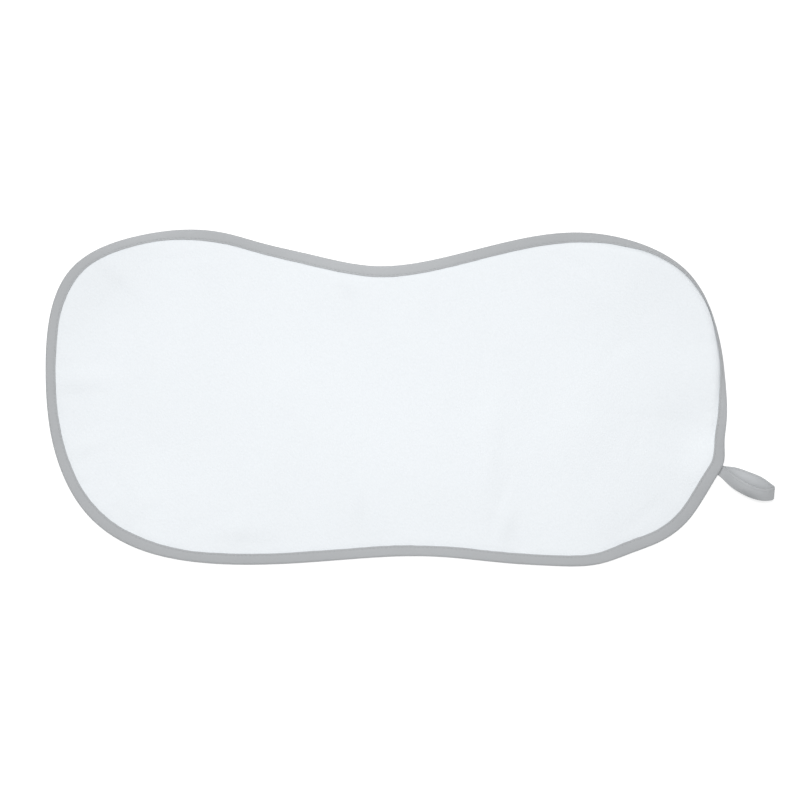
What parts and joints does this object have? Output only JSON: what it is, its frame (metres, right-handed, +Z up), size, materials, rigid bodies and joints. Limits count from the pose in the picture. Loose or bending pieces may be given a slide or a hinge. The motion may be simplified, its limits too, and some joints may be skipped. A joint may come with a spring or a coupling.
{
  "type": "burp cloth",
  "caption": "Peanut-shaped flat cloth for a carer's shoulder, edged with a folded tape and fitted with a small hanging loop.",
  "frame": {"origin": "middle of the cloth's underside, on the surface that the cloth lies on", "axes": "+X along the length towards the end with the loop, +Y across the width towards the deeper waist, +Z up out of the cloth's face"},
  "size_m": [0.5439, 0.2514, 0.0123],
  "materials": {
    "white_cotton": "soft white cotton with a short, even pile",
    "grey_tape": "matt mid-grey plain-woven cotton tape, cut on the bias",
    "grey_thread": "matt grey sewing thread"
  },
  "bodies": {
    "root": {"cloth": "white_cotton", "binding": "grey_tape", "loop": "grey_tape"}
  },
  "joints": []
}
